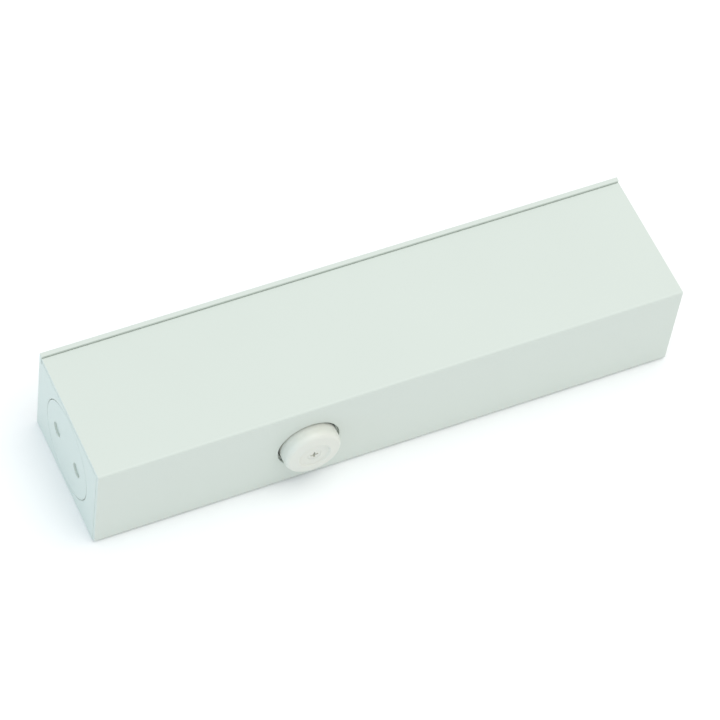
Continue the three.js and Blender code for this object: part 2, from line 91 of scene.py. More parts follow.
camera = bpy.data.objects.new("camera", bpy.data.cameras.new("camera"))
camera.data.sensor_width = SENSOR_WIDTH
camera.data.lens = LENS
camera.data.clip_end = 20.0
camera.matrix_world = Matrix.LocRotScale(
    LOOK_AT + back * DISTANCE,
    Matrix((right, up, back)).transposed(),
    None,
)
bpy.context.scene.collection.objects.link(camera)
bpy.context.scene.camera = camera

# Housing. One aluminium die casting, milled flat on its back and bored for the cylinder, the spindle,
# the valves and the fixing screws. It is powder coated white all over, and its lip along the arm
# side stands a little proud of the cover.

MM = 0.001
X, Y, Z = range(3)
SHEET = 1.5 * MM
SEAM = 0.1 * MM
LIP_THICKNESS = 1.9 * MM
GROOVE_UNDERCUT = 0.4 * MM
GROOVE_DEPTH = 1.5 * MM
CASTING_EDGE = 0.2 * MM
HOLE_EDGE = 0.2 * MM
FIT = 0.15 * MM
OVERSHOOT = 0.5 * MM
SMOOTH_BELOW = math.radians(35)

WHITE = (0.639, 0.688, 0.632)


def placed(axis, along, first, second):
    """A point from its place along an axis and along the two axes that come after it."""
    point = Vector((0.0, 0.0, 0.0))
    point[axis] = along
    point[(axis + 1) % 3] = first
    point[(axis + 2) % 3] = second
    return point


def made(name, shape):
    """Turns a bmesh into an object, with its doubles merged and its faces pointing out."""
    bmesh.ops.remove_doubles(shape, verts=shape.verts, dist=1e-7)
    bmesh.ops.recalc_face_normals(shape, faces=shape.faces)
    mesh = bpy.data.meshes.new(name)
    shape.to_mesh(mesh)
    shape.free()
    piece = bpy.data.objects.new(name, mesh)
    bpy.context.scene.collection.objects.link(piece)
    return piece


def prism(name, axis, outline, start, end):
    """An outline of (second axis, third axis) points, pushed along the first."""
    shape = bmesh.new()
    rows = []
    for along in (start, end):
        rows.append([shape.verts.new(placed(axis, along, u, v)) for u, v in outline])
        shape.faces.new(rows[-1])
    for i in range(len(outline)):
        j = (i + 1) % len(outline)
        shape.faces.new((rows[0][i], rows[0][j], rows[1][j], rows[1][i]))
    return made(name, shape)


def turned(name, axis, profile, centre, sides=96):
    """(radius, place along the axis) pairs turned about a line. With no end on the line, it is a ring."""
    shape = bmesh.new()
    first, second = centre[(axis + 1) % 3], centre[(axis + 2) % 3]
    rings = []
    for radius, along in profile:
        if radius == 0:
            rings.append([shape.verts.new(placed(axis, along, first, second))])
            continue
        ring = []
        for k in range(sides):
            angle = k * 2 * math.pi / sides
            ring.append(shape.verts.new(placed(
                axis, along, first + radius * math.cos(angle), second + radius * math.sin(angle))))
        rings.append(ring)
    pairs = list(zip(rings, rings[1:]))
    if profile[0][0] > 0:
        pairs.append((rings[-1], rings[0]))
    for low, high in pairs:
        for k in range(sides):
            n = (k + 1) % sides
            corners = (low[k % len(low)], low[n % len(low)], high[n % len(high)], high[k % len(high)])
            shape.faces.new(list(dict.fromkeys(corners)))
    return made(name, shape)


def drill(axis, radius, bottom, mouth, centre, chamfer=HOLE_EDGE, sides=64):
    """A cutter for a round hole with a chamfered mouth."""
    out = math.copysign(1.0, mouth - bottom)
    return turned("drill", axis, [
        (0, bottom),
        (radius, bottom),
        (radius, mouth - out * chamfer),
        (radius + chamfer + OVERSHOOT, mouth + out * OVERSHOOT),
        (0, mouth + out * OVERSHOOT),
    ], centre, sides)


def settled(piece):
    """Makes a piece's mesh the shape that its modifiers give."""
    graph = bpy.context.evaluated_depsgraph_get()
    piece.data = bpy.data.meshes.new_from_object(piece.evaluated_get(graph))
    piece.modifiers.clear()
    return piece


def combined(piece, others, operation="DIFFERENCE"):
    """Cuts the other shapes out of a piece, or joins them to it."""
    for other in others:
        boolean = piece.modifiers.new(operation.lower(), "BOOLEAN")
        boolean.operation = operation
        boolean.solver = "MANIFOLD"
        boolean.object = other
    settled(piece)
    for other in others:
        bpy.data.objects.remove(other)
    return piece


def softened(piece, width, segments=3):
    """Rounds a piece's sharp edges."""
    shape = bmesh.new()
    shape.from_mesh(piece.data)
    edges = [
        edge for edge in shape.edges
        if edge.is_manifold and edge.calc_face_angle() > SMOOTH_BELOW
    ]
    bmesh.ops.bevel(shape, geom=edges, offset=width, offset_type="OFFSET", segments=segments,
                    profile=0.5, affect="EDGES", clamp_overlap=True)
    shape.to_mesh(piece.data)
    shape.free()
    return piece


def fitted(piece, material, body, slot, *nodes):
    """Gives a piece its finish and its place on a body, in the stead of CAD nodes."""
    piece.data.materials.clear()
    piece.data.materials.append(material)
    piece.data.shade_smooth()
    piece.data.set_sharp_from_angle(angle=SMOOTH_BELOW)
    even = piece.modifiers.new("even shading", "WEIGHTED_NORMAL")
    even.keep_sharp = True
    settled(piece)
    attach(piece, body)
    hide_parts(*nodes)
    return piece


class Signal:
    """One output in a finish. Sums written with it become Math nodes."""

    def __init__(self, finish, socket):
        self.finish = finish
        self.socket = socket

    def __add__(self, other):
        return self.finish.sum("ADD", self, other)

    __radd__ = __add__

    def __sub__(self, other):
        return self.finish.sum("SUBTRACT", self, other)

    def __rsub__(self, other):
        return self.finish.sum("SUBTRACT", other, self)

    def __mul__(self, other):
        return self.finish.sum("MULTIPLY", self, other)

    __rmul__ = __mul__

    def __pow__(self, other):
        return self.finish.sum("POWER", self, other)


class Finish:
    """The nodes of one material, round one Principled BSDF."""

    def __init__(self, name, constants):
        self.material = bpy.data.materials.new(name)
        self.material.use_nodes = True
        self.tree = self.material.node_tree
        self.shader = self.tree.nodes["Principled BSDF"]
        for socket, value in constants.items():
            self.shader.inputs[socket].default_value = value

    def feed(self, socket, value):
        if isinstance(value, Signal):
            self.tree.links.new(value.socket, socket)
        else:
            socket.default_value = value

    def node(self, kind, settings=None, inputs=None, output=0):
        """A node by its type, its settings, then what goes into its sockets."""
        added = self.tree.nodes.new("ShaderNode" + kind)
        for setting, value in (settings or {}).items():
            setattr(added, setting, value)
        for socket, value in (inputs or {}).items():
            self.feed(added.inputs[socket], value)
        return Signal(self, added.outputs[output])

    def sum(self, operation, first, second):
        return self.node("Math", {"operation": operation}, {0: first, 1: second})

    def place(self):
        return self.node("TexCoord", output="Object")

    def coordinates(self):
        """The three coordinates of a place, each on its own."""
        parts = self.node("SeparateXYZ", None, {"Vector": self.place()})
        return [Signal(self, output) for output in parts.socket.node.outputs]

    def noise(self, scale, detail=2.0, stretch=(1.0, 1.0, 1.0)):
        spot = self.node("Mapping", None, {"Vector": self.place(), "Scale": stretch})
        return self.node("TexNoise", None, {"Vector": spot, "Scale": scale, "Detail": detail})

    def between(self, first, second, share):
        """A colour between two others."""
        return self.node("Mix", {"data_type": "RGBA"}, {0: share, 6: first, 7: second}, output=2)

    def spread(self, value, low, high):
        """Stretches the part of a pattern between two values over 0 to 1."""
        return self.node("MapRange", None, {"Value": value, "From Min": low, "From Max": high})

    def colour(self, value):
        self.feed(self.shader.inputs["Base Color"], value)

    def roughness(self, value):
        self.feed(self.shader.inputs["Roughness"], value)

    def relief(self, height, depth):
        bump = self.node("Bump", None, {"Height": height, "Distance": depth, "Strength": 1.0})
        self.feed(self.shader.inputs["Normal"], bump)


def shade(colour, brightness):
    """A colour with its brightness changed, as a shader socket takes it."""
    return (*(channel * brightness for channel in colour), 1.0)


def powder_coat(name, colour):
    """Satin white powder coat: orange peel, a fine grain, and a film that is a little uneven."""
    coat = Finish(name, {"IOR": 1.5, "Specular IOR Level": 0.45})
    film = coat.noise(scale=14.0, detail=3.0)
    peel = coat.noise(scale=620.0, detail=1.0)
    grain = coat.noise(scale=4200.0, detail=2.0)
    specks = coat.spread(coat.noise(scale=1500.0, detail=0.0), 0.76, 0.84)
    clean = coat.between(shade(colour, 0.975), shade(colour, 1.015), film)
    coat.colour(coat.between(clean, shade(colour, 0.90), specks * 0.35))
    coat.roughness(0.36 + 0.10 * film + 0.06 * grain)
    coat.relief(peel + 0.22 * grain, 0.010 * MM)
    return coat.material


white_paint = powder_coat("white_powder_coat", WHITE)

casting_low, casting_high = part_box("housing")
cover_low, cover_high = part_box("cover")
plug_low, plug_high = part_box("left_end_plug")
cap_low, cap_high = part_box("spindle_cap")
bearing_low, bearing_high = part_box("upper_bearing")
spring_low, spring_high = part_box("closing_spring")
piston_low, piston_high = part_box("piston")

CYLINDER = (plug_low + plug_high) / 2
CYLINDER.x = 0.0
SPINDLE = (cap_low + cap_high) / 2
casting_top = cover_high.z - SHEET - SEAM
lip_inner = casting_high.y - LIP_THICKNESS
groove_near = cover_high.y - GROOVE_UNDERCUT
plug_radius = (plug_high.y - plug_low.y) / 2
plug_length = plug_high.x - plug_low.x
cylinder_radius = (piston_high.y - piston_low.y) / 2 + FIT
cross_radius = (bearing_high.z - bearing_low.z) / 2 + FIT

PLUG_FLANGE = 3 * MM
PLUG_GAP = 0.22 * MM
PLUG_THREAD_RADIUS = 18 * MM
PLUG_THREAD_PLAY = 0.3 * MM


def bores():
    """Cutters for the cylinder, its threaded ends and the cross bore of the spindle."""
    end, inner = casting_high.x, casting_high.x - plug_length
    cutters = [turned("cylinder", X, [
        (0, -end + MM), (cylinder_radius, -end + MM), (cylinder_radius, end - MM), (0, end - MM),
    ], CYLINDER)]
    for side in (-1, 1):
        shoulder = side * (end - PLUG_FLANGE - PLUG_THREAD_PLAY)
        cutters.append(drill(X, PLUG_THREAD_RADIUS + PLUG_THREAD_PLAY, side * (inner - MM),
                             side * end, CYLINDER, 0.0, 96))
        cutters.append(drill(X, plug_radius + PLUG_GAP, shoulder, side * end, CYLINDER, HOLE_EDGE, 128))
        wall = casting_high.y if side > 0 else casting_low.y
        cutters.append(drill(Y, cross_radius, 0.0, wall, SPINDLE, HOLE_EDGE, 96))
    return cutters


FIXING_RADIUS = 3.25 * MM
FIXING_HEAD_RADIUS = 4.75 * MM
FIXING_HEAD_DEPTH = 5 * MM


def fixing_holes():
    """Cutters for the four fixing holes, where the record has their openings."""
    cutters = []
    for opening in frame["record"]["physics"]["openings"]:
        low, high = (Vector(corner) for corner in opening["box_m"])
        middle = (low + high) / 2
        cutters.append(drill(Z, FIXING_RADIUS, middle.z, casting_low.z, middle))
        cutters.append(drill(Z, FIXING_RADIUS, casting_low.z + MM, casting_top - MM, middle))
        cutters.append(drill(Z, FIXING_HEAD_RADIUS, casting_top - FIXING_HEAD_DEPTH, casting_top, middle))
    return cutters


VALVES = ("closing", "latching", "backcheck")
VALVE_PLAY = 0.2 * MM
VALVE_FLOOR_GAP = 0.4 * MM


def front_holes():
    """Cutters for the valves and the oil filler, which all open under the cover."""
    cutters = []
    for node in [f"{valve}_valve_screw" for valve in VALVES] + ["oil_fill_plug"]:
        low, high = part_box(node)
        radius = (high.x - low.x) / 2 + VALVE_PLAY
        cutters.append(drill(Z, radius, low.z - VALVE_FLOOR_GAP, casting_top, (low + high) / 2))
    return cutters


POCKET_PLAY = 0.55 * MM
CLIP_SCREW_HOLE_RADIUS = 1.4 * MM


def clip_pockets():
    """Cutters for the pockets of the cover's spring clips, in the capped side."""
    cutters = []
    for side in ("left", "right"):
        low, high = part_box(f"{side}_cover_clip")
        outline = [
            (low.z - POCKET_PLAY, low.x - MM), (low.z - POCKET_PLAY, high.x + MM),
            (high.z + POCKET_PLAY, high.x + MM), (high.z + POCKET_PLAY, low.x - MM),
        ]
        cutters.append(prism("pocket", Y, outline, casting_low.y - MM, high.y + SEAM))
        screw_low, screw_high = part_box(f"{side}_clip_screw")
        cutters.append(drill(Y, CLIP_SCREW_HOLE_RADIUS, screw_high.y + 0.2 * MM, high.y, (low + high) / 2))
    return cutters


section = [
    (casting_low.y, casting_low.z),
    (casting_high.y, casting_low.z),
    (casting_high.y, casting_high.z),
    (lip_inner, casting_high.z),
    (lip_inner, casting_top - GROOVE_DEPTH),
    (groove_near, casting_top - GROOVE_DEPTH),
    (groove_near, casting_top),
    (casting_low.y, casting_top),
]
housing = softened(prism("housing_casting", X, section, casting_low.x, casting_high.x), CASTING_EDGE)
combined(housing, bores() + fixing_holes() + front_holes() + clip_pockets())
fitted(housing, white_paint, "housing", "white_paint", "housing")

# Cover. An angle of pressed aluminium sheet, painted with the housing, over the front and the capped
# side. Its tongues push into two spring clips, and the spindle's cap stands through its round hole.

COVER_BEND = 0.9 * MM
COVER_INNER_BEND = 0.3 * MM
COVER_EDGE = 0.15 * MM
COVER_HOLE_RADIUS = 13.05 * MM
COVER_HOLE_EDGE = 0.06 * MM
TONGUE_THICKNESS = 1.4 * MM
TONGUE_REACH = 5.5 * MM
TONGUE_EDGE = 0.3 * MM


def arc(centre, radius, start, end, steps):
    """Points on a round stretch of an outline, with its angles in degrees."""
    angles = [math.radians(start + (end - start) * i / steps) for i in range(steps + 1)]
    return [(centre[0] + radius * math.cos(a), centre[1] + radius * math.sin(a)) for a in angles]


inner_y, inner_z = cover_low.y + SHEET, cover_high.z - SHEET
sheet = [(cover_low.y, cover_low.z), (inner_y, cover_low.z)]
sheet += arc((inner_y + COVER_INNER_BEND, inner_z - COVER_INNER_BEND), COVER_INNER_BEND, 180, 90, 4)
sheet += [(cover_high.y, inner_z), (cover_high.y, cover_high.z)]
sheet += arc((cover_low.y + COVER_BEND, cover_high.z - COVER_BEND), COVER_BEND, 90, 180, 8)
cover = softened(prism("cover_shell", X, sheet, cover_low.x, cover_high.x), COVER_EDGE)
hole = turned("cap_hole", Y, [
    (0, cover_low.y - OVERSHOOT),
    (COVER_HOLE_RADIUS + COVER_HOLE_EDGE + OVERSHOOT, cover_low.y - OVERSHOOT),
    (COVER_HOLE_RADIUS, cover_low.y + COVER_HOLE_EDGE),
    (COVER_HOLE_RADIUS, inner_y + OVERSHOOT),
    (0, inner_y + OVERSHOOT),
], SPINDLE, 128)
combined(cover, [hole])

tongues = []
for side in ("left", "right"):
    clip_low, clip_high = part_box(f"{side}_cover_clip")
    middle = (clip_low + clip_high) / 2
    low_z, high_z = middle.z - TONGUE_THICKNESS / 2, middle.z + TONGUE_THICKNESS / 2
    blade = [(low_z, clip_low.x), (low_z, clip_high.x), (high_z, clip_high.x), (high_z, clip_low.x)]
    tongue = prism("tongue", Y, blade, cover_low.y + SHEET / 2, inner_y + TONGUE_REACH)
    tongues.append(softened(tongue, TONGUE_EDGE))
combined(cover, tongues, "UNION")
fitted(cover, white_paint, "cover", "white_paint", "cover")

# Cover clips. Bent spring steel strip, blued, each held at the bottom of its pocket by one
# pan-head screw. The mouth is pinched together, and its lips flare to lead the tongue in.

CLIP_STEEL = 0.5 * MM
CLIP_EDGE = 0.1 * MM
CLIP_SLOT = 0.6 * MM
CLIP_SLOT_DEPTH = 0.45 * MM
CLIP_SHANK_RADIUS = 1.1 * MM


def strip(points, thickness):
    """The outline of sheet metal that is bent along a line of points."""
    sides = []
    for sign in (1, -1):
        side = []
        for i, point in enumerate(points):
            before = (Vector(point) - Vector(points[max(i - 1, 0)])).normalized()
            after = (Vector(points[min(i + 1, len(points) - 1)]) - Vector(point)).normalized()
            middle = (before + after).normalized()
            reach = sign * thickness / 2 / middle.dot(before if before.length else after)
            side.append((point[0] - middle.y * reach, point[1] + middle.x * reach))
        sides.append(side)
    return sides[0] + sides[1][::-1]


def plated_steel(name, colour, axis, centre, ring_depth=0.004 * MM):
    """Turned steel under thin plating, with fine tool rings about its axis."""
    steel = Finish(name, {"Metallic": 1.0})
    spot = steel.coordinates()
    first, second = (spot[i] - centre[i] for i in ((axis + 1) % 3, (axis + 2) % 3))
    radius = (first * first + second * second) ** 0.5
    rings = steel.node("TexNoise", {"noise_dimensions": "1D"},
                       {"W": radius + spot[axis], "Scale": 9000.0, "Detail": 1.0})
    stain = steel.noise(scale=120.0, detail=4.0)
    steel.colour(steel.between(shade(colour, 0.82), shade(colour, 1.06), stain))
    steel.roughness(0.24 + 0.16 * rings + 0.12 * stain)
    steel.relief(rings, ring_depth)
    return steel.material


def blued_steel(name):
    """Oil-tempered spring steel: blue black, with drawn lines along x and a brown tinge."""
    steel = Finish(name, {"Metallic": 1.0})
    drawn = steel.noise(scale=900.0, stretch=(0.08, 1.0, 1.0))
    tinge = steel.noise(scale=60.0, detail=3.0)
    steel.colour(steel.between((0.16, 0.18, 0.21, 1.0), (0.27, 0.24, 0.21, 1.0), tinge))
    steel.roughness(0.30 + 0.20 * drawn)
    steel.relief(drawn, 0.004 * MM)
    return steel.material


clip_steel = blued_steel("blued_clip_steel")
for side in ("left", "right"):
    low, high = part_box(f"{side}_cover_clip")
    middle = (low + high) / 2
    floor = high.y - CLIP_STEEL / 2
    half = [
        (low.y + 0.1 * MM, middle.z + 2.2 * MM),
        (low.y + 1.4 * MM, middle.z + TONGUE_THICKNESS / 2 + SEAM + CLIP_STEEL / 2),
        (floor - 1.6 * MM, high.z - CLIP_STEEL / 2),
        (floor, high.z - CLIP_STEEL / 2),
    ]
    mirrored = [(y, 2 * middle.z - z) for y, z in reversed(half)]
    clip = prism(f"{side}_spring_clip", X, strip(half + mirrored, CLIP_STEEL), low.x, high.x)
    softened(clip, CLIP_EDGE, segments=2)
    combined(clip, [turned("screw_hole", Y, [
        (0, floor - MM), (CLIP_SCREW_HOLE_RADIUS, floor - MM),
        (CLIP_SCREW_HOLE_RADIUS, floor + MM), (0, floor + MM),
    ], middle, 32)])
    fitted(clip, clip_steel, "housing", "spring_steel", f"{side}_cover_clip")

    low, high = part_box(f"{side}_clip_screw")
    centre = (low + high) / 2
    head, head_radius = low.y + 0.8 * MM, (high.x - low.x) / 2
    screw = turned(f"{side}_pan_head_screw", Y, [
        (0, low.y),
        (head_radius * 0.7, low.y),
        (head_radius * 0.95, low.y + 0.3 * MM),
        (head_radius, head),
        (CLIP_SHANK_RADIUS, head),
        (CLIP_SHANK_RADIUS, high.y - 0.5 * MM),
        (0, high.y),
    ], centre, 40)
    slot = [
        (centre.z - CLIP_SLOT / 2, low.x - MM), (centre.z - CLIP_SLOT / 2, high.x + MM),
        (centre.z + CLIP_SLOT / 2, high.x + MM), (centre.z + CLIP_SLOT / 2, low.x - MM),
    ]
    combined(screw, [prism("slot", Y, slot, low.y - MM, low.y + CLIP_SLOT_DEPTH)])
    zinc = plated_steel(f"{side}_clip_screw_zinc", (0.62, 0.63, 0.62), Y, centre)
    fitted(screw, zinc, "housing", "steel", f"{side}_clip_screw")

# End plugs. Turned aluminium, screwed into the ends of the cylinder with a pin spanner and painted
# with the housing, flush with its ends. A narrow dark line is left round each. The right one has a
# bore for the adjuster.

SPANNER_HOLE_RADIUS = 3.2 * MM
SPANNER_HOLE_OFFSET = 10.1 * MM
SPANNER_HOLE_DEPTH = 1.0 * MM
SPANNER_HOLE_EDGE = 0.08 * MM
PLUG_THREAD_PITCH = 1.5 * MM
PLUG_THREAD_DEPTH = 0.7 * MM
PLUG_GROOVE = (2 * MM, 5 * MM)
PLUG_GROOVE_DEPTH = 2 * MM


def thread(radius, depth, pitch, start, end):
    """The profile of a screw thread between two places on its axis, as rings."""
    turns = int(abs(end - start) / pitch)
    step = (end - start) / turns
    points = []
    for turn in range(turns):
        points += [(radius - depth, start + turn * step), (radius, start + (turn + 0.5) * step)]
    return points + [(radius - depth, end)]


def end_plug(name, side, bore_radius):
    """A plug on the left (-1) or right (1) end, with a bore through it if it has a radius."""
    face = side * casting_high.x
    inner = face - side * plug_length
    flange = face - side * PLUG_FLANGE
    groove_start, groove_end = (inner + side * place for place in PLUG_GROOVE)
    outside = [
        (0, inner),
        (PLUG_THREAD_RADIUS - 0.8 * MM, inner),
        (PLUG_THREAD_RADIUS, inner + side * 0.8 * MM),
        (PLUG_THREAD_RADIUS, groove_start),
        (PLUG_THREAD_RADIUS - PLUG_GROOVE_DEPTH, groove_start),
        (PLUG_THREAD_RADIUS - PLUG_GROOVE_DEPTH, groove_end),
        (PLUG_THREAD_RADIUS, groove_end),
    ]
    outside += thread(PLUG_THREAD_RADIUS, PLUG_THREAD_DEPTH, PLUG_THREAD_PITCH,
                      groove_end + side * 0.8 * MM, flange - side * 0.6 * MM)
    outside += [
        (PLUG_THREAD_RADIUS - PLUG_THREAD_DEPTH, flange),
        (plug_radius, flange),
        (plug_radius, face - side * 0.25 * MM),
        (plug_radius - 0.08 * MM, face - side * 0.08 * MM),
        (plug_radius - 0.25 * MM, face),
        (0, face),
    ]
    plug = turned(name, X, outside, CYLINDER, 128)
    cutters = []
    for offset in (-SPANNER_HOLE_OFFSET, SPANNER_HOLE_OFFSET):
        centre = CYLINDER + Vector((0.0, offset, 0.0))
        cutters.append(drill(X, SPANNER_HOLE_RADIUS, face - side * SPANNER_HOLE_DEPTH, face,
                             centre, SPANNER_HOLE_EDGE))
    if bore_radius:
        cutters.append(drill(X, bore_radius, inner - side * MM, face, CYLINDER))
    return combined(plug, cutters)


ADJUSTER_HEAD_RADIUS = 5.4 * MM
left_plug = end_plug("left_plug", -1, None)
right_plug = end_plug("right_plug", 1, ADJUSTER_HEAD_RADIUS + FIT)
fitted(left_plug, white_paint, "housing", "white_paint", "left_end_plug")
fitted(right_plug, white_paint, "housing", "white_paint", "right_end_plug")

# Spindle. Hardened steel, cut from one bar: a 12-tooth pinion between two journals, with a 10 mm
# square on each end. The arm end has an M6 thread for the arm's screw.

MODULE = 1.5 * MM
TEETH = 12
PITCH_RADIUS = MODULE * TEETH / 2
PRESSURE_ANGLE = math.radians(20)
BASE_RADIUS = PITCH_RADIUS * math.cos(PRESSURE_ANGLE)
TIP_RADIUS = 10.4 * MM
ROOT_RADIUS = 7.6 * MM
BACKLASH = 0.12 * MM
PINION_HALF_LENGTH = 15 * MM
JOURNAL_RADIUS = 8 * MM
SQUARE = 10 * MM
SQUARE_CORNER_RADIUS = 6.5 * MM
SQUARE_EDGE = 0.45 * MM
FLANK_STEPS = 10
ARM_THREAD_RADIUS = 3.0 * MM
ARM_THREAD_DEPTH = 14 * MM
ARM_THREAD_PITCH = 1.0 * MM


def involute(radius):
    """The angle by which an involute flank has turned at a radius."""
    angle = math.acos(BASE_RADIUS / radius)
    return math.tan(angle) - angle


def pinion_outline():
    """Twelve involute teeth as (z, x) points, with one tooth pointing up."""
    half_tooth = math.pi / (2 * TEETH) - BACKLASH / (2 * PITCH_RADIUS) + involute(PITCH_RADIUS)
    flank = [(ROOT_RADIUS, half_tooth)]
    for i in range(FLANK_STEPS + 1):
        radius = BASE_RADIUS + (TIP_RADIUS - BASE_RADIUS) * i / FLANK_STEPS
        flank.append((radius, half_tooth - involute(radius)))
    points = []
    for tooth in range(TEETH):
        middle = tooth * 2 * math.pi / TEETH
        sides = [(r, middle - a) for r, a in flank] + [(r, middle + a) for r, a in reversed(flank)]
        points += [(SPINDLE.z + r * math.cos(a), SPINDLE.x + r * math.sin(a)) for r, a in sides]
    return points


def square_end(start, end):
    """A square whose corners are turned down to a circle."""
    corner = math.degrees(math.acos(SQUARE / 2 / SQUARE_CORNER_RADIUS))
    points = []
    for side in range(4):
        points += arc((SPINDLE.z, SPINDLE.x), SQUARE_CORNER_RADIUS,
                      90 * side + corner, 90 * side + 90 - corner, 6)
    return softened(prism("square", Y, points, start, end), SQUARE_EDGE)


spindle_low, spindle_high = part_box("spindle")
journal_near, journal_far = casting_low.y + 0.4 * MM, casting_high.y - 0.2 * MM
spindle = turned("pinion_spindle", Y, [
    (0, journal_near),
    (JOURNAL_RADIUS - 0.5 * MM, journal_near),
    (JOURNAL_RADIUS, journal_near + 0.5 * MM),
    (JOURNAL_RADIUS, journal_far - 0.5 * MM),
    (JOURNAL_RADIUS - 0.5 * MM, journal_far),
    (0, journal_far),
], SPINDLE)
combined(spindle, [
    prism("teeth", Y, pinion_outline(), -PINION_HALF_LENGTH, PINION_HALF_LENGTH),
    square_end(spindle_low.y, journal_near + 2 * MM),
    square_end(journal_far - 2 * MM, spindle_high.y),
], "UNION")

arm_face = spindle_high.y
arm_thread = [(0, arm_face - ARM_THREAD_DEPTH)]
arm_thread += thread(ARM_THREAD_RADIUS, 0.5 * MM, ARM_THREAD_PITCH,
                     arm_face - ARM_THREAD_DEPTH + 0.5 * MM, arm_face - 0.5 * MM)
arm_thread += [(ARM_THREAD_RADIUS + 0.6 * MM, arm_face + 0.6 * MM), (0, arm_face + 0.6 * MM)]
cap_screw_hole = drill(Y, 2.1 * MM, spindle_low.y + 11 * MM, spindle_low.y, SPINDLE, 0.3 * MM)
combined(spindle, [turned("arm_thread", Y, arm_thread, SPINDLE, 48), cap_screw_hole])
hard_steel = plated_steel("hardened_spindle_steel", (0.50, 0.50, 0.49), Y, SPINDLE)
fitted(spindle, hard_steel, "spindle", "steel", "spindle")

# Bearings, seals and gland nuts. On each side of the pinion comes a drawn-cup needle bearing, a
# rubber lip seal and a steel ring nut with two pin holes, which holds them in the cross bore.

NEEDLES = 22
NEEDLE_RADIUS = 1.1 * MM
CUP_STEEL = 1.2 * MM
NUT_PIN_RADIUS = 1 * MM
NUT_PIN_DEPTH = 2 * MM


class Pattern:
    """A Geometry Nodes tree with named inputs for its sizes."""

    def __init__(self, name, sizes):
        self.tree = bpy.data.node_groups.new(name, "GeometryNodeTree")
        for size, value in sizes.items():
            kind = "NodeSocketInt" if isinstance(value, int) else "NodeSocketFloat"
            self.tree.interface.new_socket(size, in_out="INPUT", socket_type=kind)
        self.tree.interface.new_socket("Geometry", in_out="OUTPUT", socket_type="NodeSocketGeometry")
        self.sizes = sizes
        self.inputs = self.tree.nodes.new("NodeGroupInput")
        self.output = self.tree.nodes.new("NodeGroupOutput")

    def size(self, name):
        return self.inputs.outputs[name]

    def node(self, kind, settings=None, inputs=None, output=0):
        added = self.tree.nodes.new(kind)
        for setting, value in (settings or {}).items():
            setattr(added, setting, value)
        for socket, value in (inputs or {}).items():
            if isinstance(value, bpy.types.NodeSocket):
                self.tree.links.new(value, added.inputs[socket])
            else:
                added.inputs[socket].default_value = value
        return added.outputs[output]

    def piece(self, name, shape, material):
        """Ends the tree on a shape and returns the plain mesh that it makes."""
        solid = self.node("GeometryNodeRealizeInstances", None, {"Geometry": shape})
        smooth = self.node("GeometryNodeSetShadeSmooth", None, {"Geometry": solid})
        coated = self.node("GeometryNodeSetMaterial", None, {"Geometry": smooth, "Material": material})
        self.tree.links.new(coated, self.output.inputs["Geometry"])
        piece = bpy.data.objects.new(name, bpy.data.meshes.new(name))
        bpy.context.scene.collection.objects.link(piece)
        modifier = piece.modifiers.new(name, "NODES")
        modifier.node_group = self.tree
        for item in self.tree.interface.items_tree:
            if item.in_out == "INPUT":
                modifier[item.identifier] = self.sizes[item.name]
        return settled(piece)


def needles(name, low, high, material):
    """A ring of needle rollers that fills a bearing's cup."""
    track = JOURNAL_RADIUS + FIT + 0.1 * MM + NEEDLE_RADIUS
    pattern = Pattern(name, {
        "Count": NEEDLES, "Track": track, "Radius": NEEDLE_RADIUS, "Length": high.y - low.y - 1.2 * MM,
    })
    ring = pattern.node("GeometryNodeMeshCircle", None,
                        {"Vertices": pattern.size("Count"), "Radius": pattern.size("Track")})
    roller = pattern.node("GeometryNodeMeshCylinder", None, {
        "Vertices": 16, "Radius": pattern.size("Radius"), "Depth": pattern.size("Length")})
    rollers = pattern.node("GeometryNodeInstanceOnPoints", None, {"Points": ring, "Instance": roller})
    across = pattern.node("GeometryNodeTransform", None, {
        "Geometry": rollers,
        "Translation": (SPINDLE.x, (low.y + high.y) / 2, SPINDLE.z),
        "Rotation": (math.pi / 2, 0.0, 0.0),
    })
    return pattern.piece(name, across, material)


def rubber_finish(name):
    """Black nitrile: matt, with a faint bloom and a moulded grain."""
    rubber = Finish(name, {"IOR": 1.5})
    bloom = rubber.noise(scale=180.0, detail=4.0)
    grain = rubber.noise(scale=2600.0, detail=1.0)
    rubber.colour(rubber.between((0.016, 0.016, 0.017, 1.0), (0.045, 0.045, 0.046, 1.0), bloom))
    rubber.roughness(0.62 + 0.2 * grain)
    rubber.relief(grain, 0.01 * MM)
    return rubber.material


